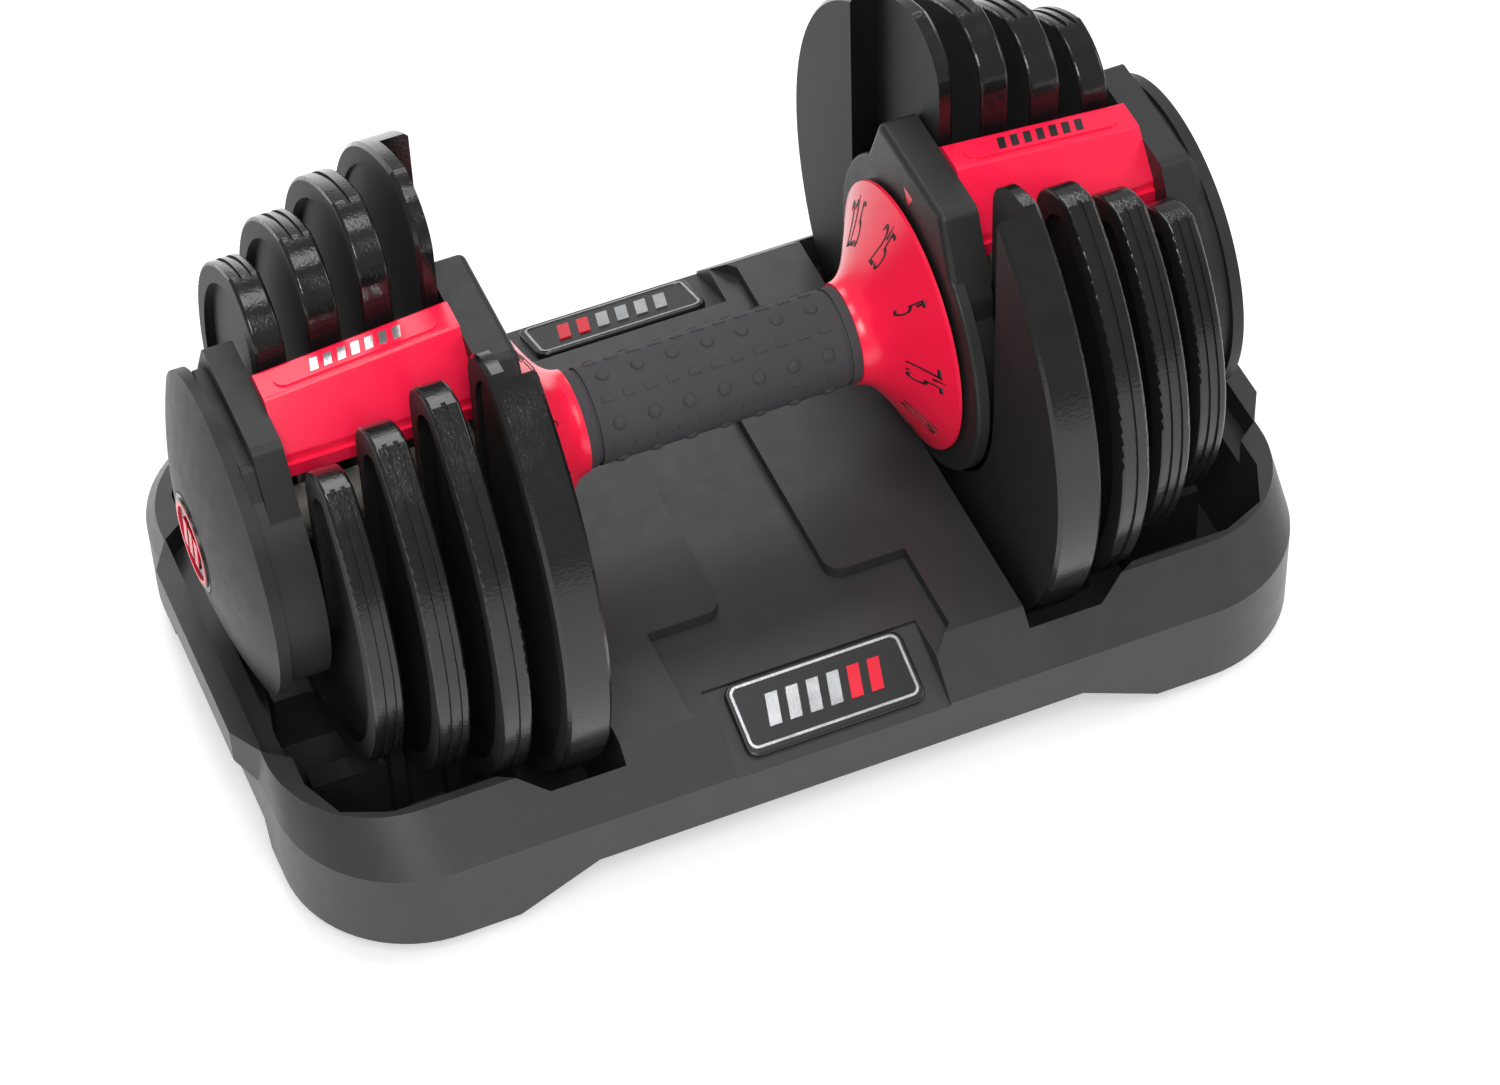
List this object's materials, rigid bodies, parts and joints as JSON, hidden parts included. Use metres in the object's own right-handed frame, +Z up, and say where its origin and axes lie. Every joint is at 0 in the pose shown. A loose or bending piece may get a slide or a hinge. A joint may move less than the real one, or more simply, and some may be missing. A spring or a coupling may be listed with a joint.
{
  "type": "adjustable dumbbell with cradle",
  "caption": "Dial-type adjustable dumbbell docked in its moulded cradle; the grip turns selector discs that pick up slotted plates at each end.",
  "frame": {"origin": "on the floor under the middle of the cradle", "axes": "+X along the handle, +Y to the back, +Z up"},
  "size_m": [0.3682, 0.2184, 0.2134],
  "materials": {
    "steel": "turned steel",
    "grip_rubber": "matt moulded rubber",
    "grip_plastic": "glass-filled nylon",
    "dial_red": "satin red moulded plastic",
    "bridge_red": "gloss red moulded plastic",
    "housing_black": "fine-textured black moulding",
    "plate_black": "gloss black enamel on cast iron",
    "selector_nylon": "natural nylon",
    "tray_grey": "satin dark grey moulding",
    "rack_black": "black moulding",
    "badge_gloss": "gloss black inlay",
    "emblem_red": "red inlay",
    "bush_bronze": "sintered bronze",
    "pad_rubber": "soft rubber"
  },
  "bodies": {
    "cradle": {"badge_front": "badge_gloss", "badge_rear": "badge_gloss", "foot_pads": "pad_rubber", "plate_rack_left": "rack_black", "plate_rack_right": "rack_black", "tray_shell": "tray_grey"},
    "handle": {"bridge_left": "bridge_red", "bridge_right": "bridge_red", "bridge_screws": "steel", "dial_pointer_left": "bridge_red", "dial_pointer_right": "bridge_red", "end_cap_left": "housing_black", "end_cap_right": "housing_black", "end_emblem_left": "emblem_red", "end_emblem_right": "emblem_red", "fixed_rod": "steel", "inner_housing_left": "housing_black", "inner_housing_right": "housing_black", "outer_housing_left": "housing_black", "outer_housing_right": "housing_black", "rod_nuts": "steel", "rod_washers": "steel", "tube_bush_left": "bush_bronze", "tube_bush_right": "bush_bronze"},
    "dial": {"drive_tube": "steel", "grip_core": "grip_plastic", "grip_sleeve": "grip_rubber", "lock_ring_left": "steel", "lock_ring_right": "steel", "selector_disc_1_left": "selector_nylon", "selector_disc_1_right": "selector_nylon", "selector_disc_2_left": "selector_nylon", "selector_disc_2_right": "selector_nylon", "selector_disc_3_left": "selector_nylon", "selector_disc_3_right": "selector_nylon", "selector_disc_4_left": "selector_nylon", "selector_disc_4_right": "selector_nylon", "weight_dial_left": "dial_red", "weight_dial_right": "dial_red"},
    "lock_slider_left": {"lock_slider_left": "steel"},
    "lock_slider_right": {"lock_slider_right": "steel"},
    "plate_1_left": {"plate_1_left": "plate_black"},
    "plate_1_right": {"plate_1_right": "plate_black"},
    "plate_2_left": {"plate_2_left": "plate_black"},
    "plate_2_right": {"plate_2_right": "plate_black"},
    "plate_3_left": {"plate_3_left": "plate_black"},
    "plate_3_right": {"plate_3_right": "plate_black"},
    "plate_4_left": {"plate_4_left": "plate_black"},
    "plate_4_right": {"plate_4_right": "plate_black"}
  },
  "joints": [
    {"name": "handle_lift", "type": "slide", "parent": "cradle", "child": "handle", "axis": [0, 0, 1], "range_m": [0, 0.25]},
    {"name": "dial_turn", "type": "hinge", "parent": "handle", "child": "dial", "pos_m": [0, 0, 0.1108], "axis": [1, 0, 0], "range_deg": [0, 320]},
    {"name": "plate_1_right_lift", "type": "slide", "parent": "cradle", "child": "plate_1_right", "axis": [0, 0, 1], "range_m": [0, 0.25]},
    {"name": "plate_1_left_lift", "type": "slide", "parent": "cradle", "child": "plate_1_left", "axis": [0, 0, 1], "range_m": [0, 0.25]},
    {"name": "plate_2_right_lift", "type": "slide", "parent": "cradle", "child": "plate_2_right", "axis": [0, 0, 1], "range_m": [0, 0.25]},
    {"name": "plate_2_left_lift", "type": "slide", "parent": "cradle", "child": "plate_2_left", "axis": [0, 0, 1], "range_m": [0, 0.25]},
    {"name": "plate_3_right_lift", "type": "slide", "parent": "cradle", "child": "plate_3_right", "axis": [0, 0, 1], "range_m": [0, 0.25]},
    {"name": "plate_3_left_lift", "type": "slide", "parent": "cradle", "child": "plate_3_left", "axis": [0, 0, 1], "range_m": [0, 0.25]},
    {"name": "plate_4_right_lift", "type": "slide", "parent": "cradle", "child": "plate_4_right", "axis": [0, 0, 1], "range_m": [0, 0.25]},
    {"name": "plate_4_left_lift", "type": "slide", "parent": "cradle", "child": "plate_4_left", "axis": [0, 0, 1], "range_m": [0, 0.25]},
    {"name": "lock_slider_right_travel", "type": "slide", "parent": "handle", "child": "lock_slider_right", "axis": [0, 0, 1], "range_m": [-0.004, 0]},
    {"name": "lock_slider_left_travel", "type": "slide", "parent": "handle", "child": "lock_slider_left", "axis": [0, 0, 1], "range_m": [-0.004, 0]}
  ],
  "couplings": [
    {"joint": "plate_1_right_lift", "follows": "handle_lift", "ratio": 1},
    {"joint": "plate_1_left_lift", "follows": "handle_lift", "ratio": 1},
    {"joint": "plate_2_right_lift", "follows": "handle_lift", "ratio": 1},
    {"joint": "plate_2_left_lift", "follows": "handle_lift", "ratio": 1},
    {"joint": "plate_3_right_lift", "follows": "handle_lift", "ratio": 1},
    {"joint": "plate_3_left_lift", "follows": "handle_lift", "ratio": 1},
    {"joint": "plate_4_right_lift", "follows": "handle_lift", "ratio": 1},
    {"joint": "plate_4_left_lift", "follows": "handle_lift", "ratio": 1},
    {"joint": "lock_slider_right_travel", "follows": "handle_lift", "ratio": -0.016},
    {"joint": "lock_slider_left_travel", "follows": "handle_lift", "ratio": -0.016}
  ]
}
